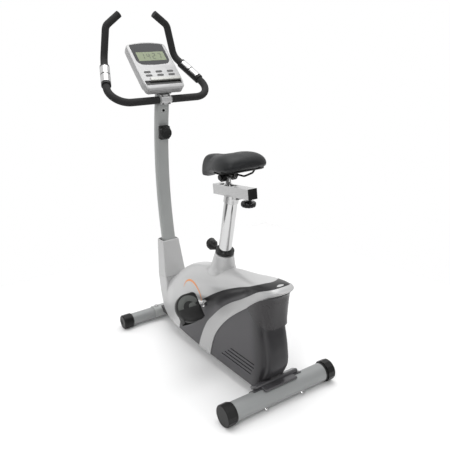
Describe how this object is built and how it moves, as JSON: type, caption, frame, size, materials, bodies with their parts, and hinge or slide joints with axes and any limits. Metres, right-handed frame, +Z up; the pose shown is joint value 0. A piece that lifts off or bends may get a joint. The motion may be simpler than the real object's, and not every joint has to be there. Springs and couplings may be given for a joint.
{
  "type": "exercise bike",
  "caption": "Upright stationary exercise bike with enclosed flywheel drive, U-shaped handlebar, console and sliding saddle.",
  "frame": {"origin": "on the floor, under the middle of the bike's length and width", "axes": "+X towards the handlebar end, +Y to the rider's left, +Z up"},
  "size_m": [1.0022, 0.5, 1.4274],
  "materials": {
    "silver_paint": "satin silver-grey powder coat",
    "black_plastic": "fine-grain black",
    "silver_plastic": "satin metallic-look silver",
    "dark_plastic": "satin dark grey",
    "dark_paint": "semi-gloss dark grey",
    "chrome": "polished",
    "steel": "turned",
    "cast_iron": "machined rim",
    "belt_rubber": "ribbed",
    "foam": "closed-cell foam",
    "vinyl": "dark grey vinyl over foam",
    "clear_window": "clear plastic",
    "lcd": "grey-green liquid crystal",
    "button_rubber": "matte",
    "pedal_grip": "ribbed grey-black"
  },
  "bodies": {
    "frame": {"main_frame": "dark_paint", "rear_stabilizer": "silver_paint", "front_stabilizer": "silver_paint", "rear_saddle_plate": "dark_paint", "front_saddle_plate": "silver_paint", "fasteners": "chrome", "roller_plugs": "black_plastic", "housing_left": "silver_plastic", "housing_right": "silver_plastic", "side_panel_left": "dark_plastic", "side_panel_right": "dark_plastic", "side_bands": "silver_plastic", "tail_cover": "dark_plastic", "post_shroud": "silver_plastic", "handlebar_post": "silver_paint", "seat_post_bush": "black_plastic", "tension_dial_base": "black_plastic", "tension_cable": "black_plastic", "console_bracket": "steel", "console_back": "silver_plastic", "console_front": "silver_plastic", "console_window": "clear_window", "lcd_panel": "lcd", "handlebar_clamp": "silver_paint", "crank_bearings": "steel", "flywheel_axle": "steel", "belt": "belt_rubber"},
    "rear_cap_l": {"rear_cap_left": "black_plastic"},
    "rear_cap_r": {"rear_cap_right": "black_plastic"},
    "roller_l": {"front_roller_left": "black_plastic"},
    "roller_r": {"front_roller_right": "black_plastic"},
    "crank": {"crank_axle": "steel", "crank_pulley": "black_plastic", "crank_arms": "chrome", "pedal_spindles": "steel"},
    "pedal_l": {"pedal_left": "pedal_grip", "pedal_strap_left": "button_rubber"},
    "pedal_r": {"pedal_right": "pedal_grip", "pedal_strap_right": "button_rubber"},
    "flywheel_body": {"flywheel": "cast_iron"},
    "brake": {"magnet_arm": "steel"},
    "dial": {"tension_knob": "black_plastic"},
    "handlebar": {"handlebar_tube": "silver_paint", "foam_grips": "foam", "pulse_sensors": "silver_plastic"},
    "seat": {"seat_post": "chrome", "seat_rail": "silver_paint"},
    "lock": {"seat_lock_knob": "black_plastic"},
    "rail_lock": {"rail_knob": "black_plastic"},
    "carriage": {"slider_carriage": "steel"},
    "saddle": {"saddle_clamp": "steel", "saddle_rails": "steel", "saddle_pan": "black_plastic", "saddle_pad": "vinyl"},
    "button_1": {"console_button_1": "button_rubber"},
    "button_2": {"console_button_2": "button_rubber"},
    "button_3": {"console_button_3": "button_rubber"},
    "button_4": {"console_button_4": "button_rubber"},
    "button_5": {"console_button_5": "button_rubber"},
    "button_6": {"console_button_6": "button_rubber"}
  },
  "joints": [
    {"name": "rear_cap_left_turn", "type": "hinge", "parent": "frame", "child": "rear_cap_l", "pos_m": [-0.452, 0.228, 0.04], "axis": [0, 1, 0], "continuous": true},
    {"name": "rear_cap_right_turn", "type": "hinge", "parent": "frame", "child": "rear_cap_r", "pos_m": [-0.452, -0.228, 0.04], "axis": [0, 1, 0], "continuous": true},
    {"name": "front_roller_left_spin", "type": "hinge", "parent": "frame", "child": "roller_l", "pos_m": [0.441, 0.205, 0.033], "axis": [0, 1, 0], "continuous": true},
    {"name": "front_roller_right_spin", "type": "hinge", "parent": "frame", "child": "roller_r", "pos_m": [0.441, -0.205, 0.033], "axis": [0, 1, 0], "continuous": true},
    {"name": "flywheel_spin", "type": "hinge", "parent": "frame", "child": "flywheel_body", "pos_m": [-0.282, 0, 0.24], "axis": [0, 1, 0], "continuous": true},
    {"name": "crank_spin", "type": "hinge", "parent": "frame", "child": "crank", "pos_m": [0.063, 0, 0.25], "axis": [0, 1, 0], "continuous": true},
    {"name": "pedal_left_spin", "type": "hinge", "parent": "crank", "child": "pedal_l", "pos_m": [-0.08803, 0.155, 0.28487], "axis": [0, 1, 0], "continuous": true},
    {"name": "pedal_right_spin", "type": "hinge", "parent": "crank", "child": "pedal_r", "pos_m": [0.21403, -0.155, 0.21513], "axis": [0, 1, 0], "continuous": true},
    {"name": "tension_knob_turn", "type": "hinge", "parent": "frame", "child": "dial", "pos_m": [0.30368, 0, 0.92211], "axis": [-0.9866, 0, -0.1629], "range_deg": [0, 315]},
    {"name": "magnet_arm_swing", "type": "hinge", "parent": "frame", "child": "brake", "pos_m": [-0.16736, 0, 0.28173], "axis": [0, 1, 0], "range_deg": [0, 8]},
    {"name": "handlebar_tilt", "type": "hinge", "parent": "frame", "child": "handlebar", "pos_m": [0.276, 0, 1.063], "axis": [0, 1, 0], "range_deg": [-15, 15]},
    {"name": "seat_height", "type": "slide", "parent": "frame", "child": "seat", "axis": [-0.2571, 0, 0.9664], "range_m": [-0.1, 0.06]},
    {"name": "seat_lock_knob_turn", "type": "hinge", "parent": "frame", "child": "lock", "pos_m": [-0.04805, 0, 0.50057], "axis": [0.9664, 0, 0.2571], "continuous": true},
    {"name": "saddle_fore_aft", "type": "slide", "parent": "seat", "child": "carriage", "axis": [0.9974, 0, -0.0715], "range_m": [-0.035, 0.035]},
    {"name": "rail_knob_turn", "type": "hinge", "parent": "seat", "child": "rail_lock", "pos_m": [-0.29686, 0, 0.73351], "axis": [0.0715, 0, 0.9974], "continuous": true},
    {"name": "saddle_tilt", "type": "hinge", "parent": "carriage", "child": "saddle", "pos_m": [-0.17509, 0, 0.806], "axis": [0, 1, 0], "range_deg": [-12, 12]},
    {"name": "button_1_press", "type": "slide", "parent": "frame", "child": "button_1", "axis": [0.7193, 0, -0.6947], "range_m": [0, 0.0012], "stiffness_N_per_m": 500, "springref_m": -0.0006},
    {"name": "button_2_press", "type": "slide", "parent": "frame", "child": "button_2", "axis": [0.7193, 0, -0.6947], "range_m": [0, 0.0012], "stiffness_N_per_m": 500, "springref_m": -0.0006},
    {"name": "button_3_press", "type": "slide", "parent": "frame", "child": "button_3", "axis": [0.7193, 0, -0.6947], "range_m": [0, 0.0012], "stiffness_N_per_m": 500, "springref_m": -0.0006},
    {"name": "button_4_press", "type": "slide", "parent": "frame", "child": "button_4", "axis": [0.7193, 0, -0.6947], "range_m": [0, 0.0012], "stiffness_N_per_m": 500, "springref_m": -0.0006},
    {"name": "button_5_press", "type": "slide", "parent": "frame", "child": "button_5", "axis": [0.7193, 0, -0.6947], "range_m": [0, 0.0012], "stiffness_N_per_m": 500, "springref_m": -0.0006},
    {"name": "button_6_press", "type": "slide", "parent": "frame", "child": "button_6", "axis": [0.7193, 0, -0.6947], "range_m": [0, 0.0012], "stiffness_N_per_m": 500, "springref_m": -0.0006}
  ],
  "couplings": [
    {"joint": "crank_spin", "follows": "flywheel_spin", "ratio": 0.20952},
    {"joint": "magnet_arm_swing", "follows": "tension_knob_turn", "ratio": 0.025397}
  ]
}
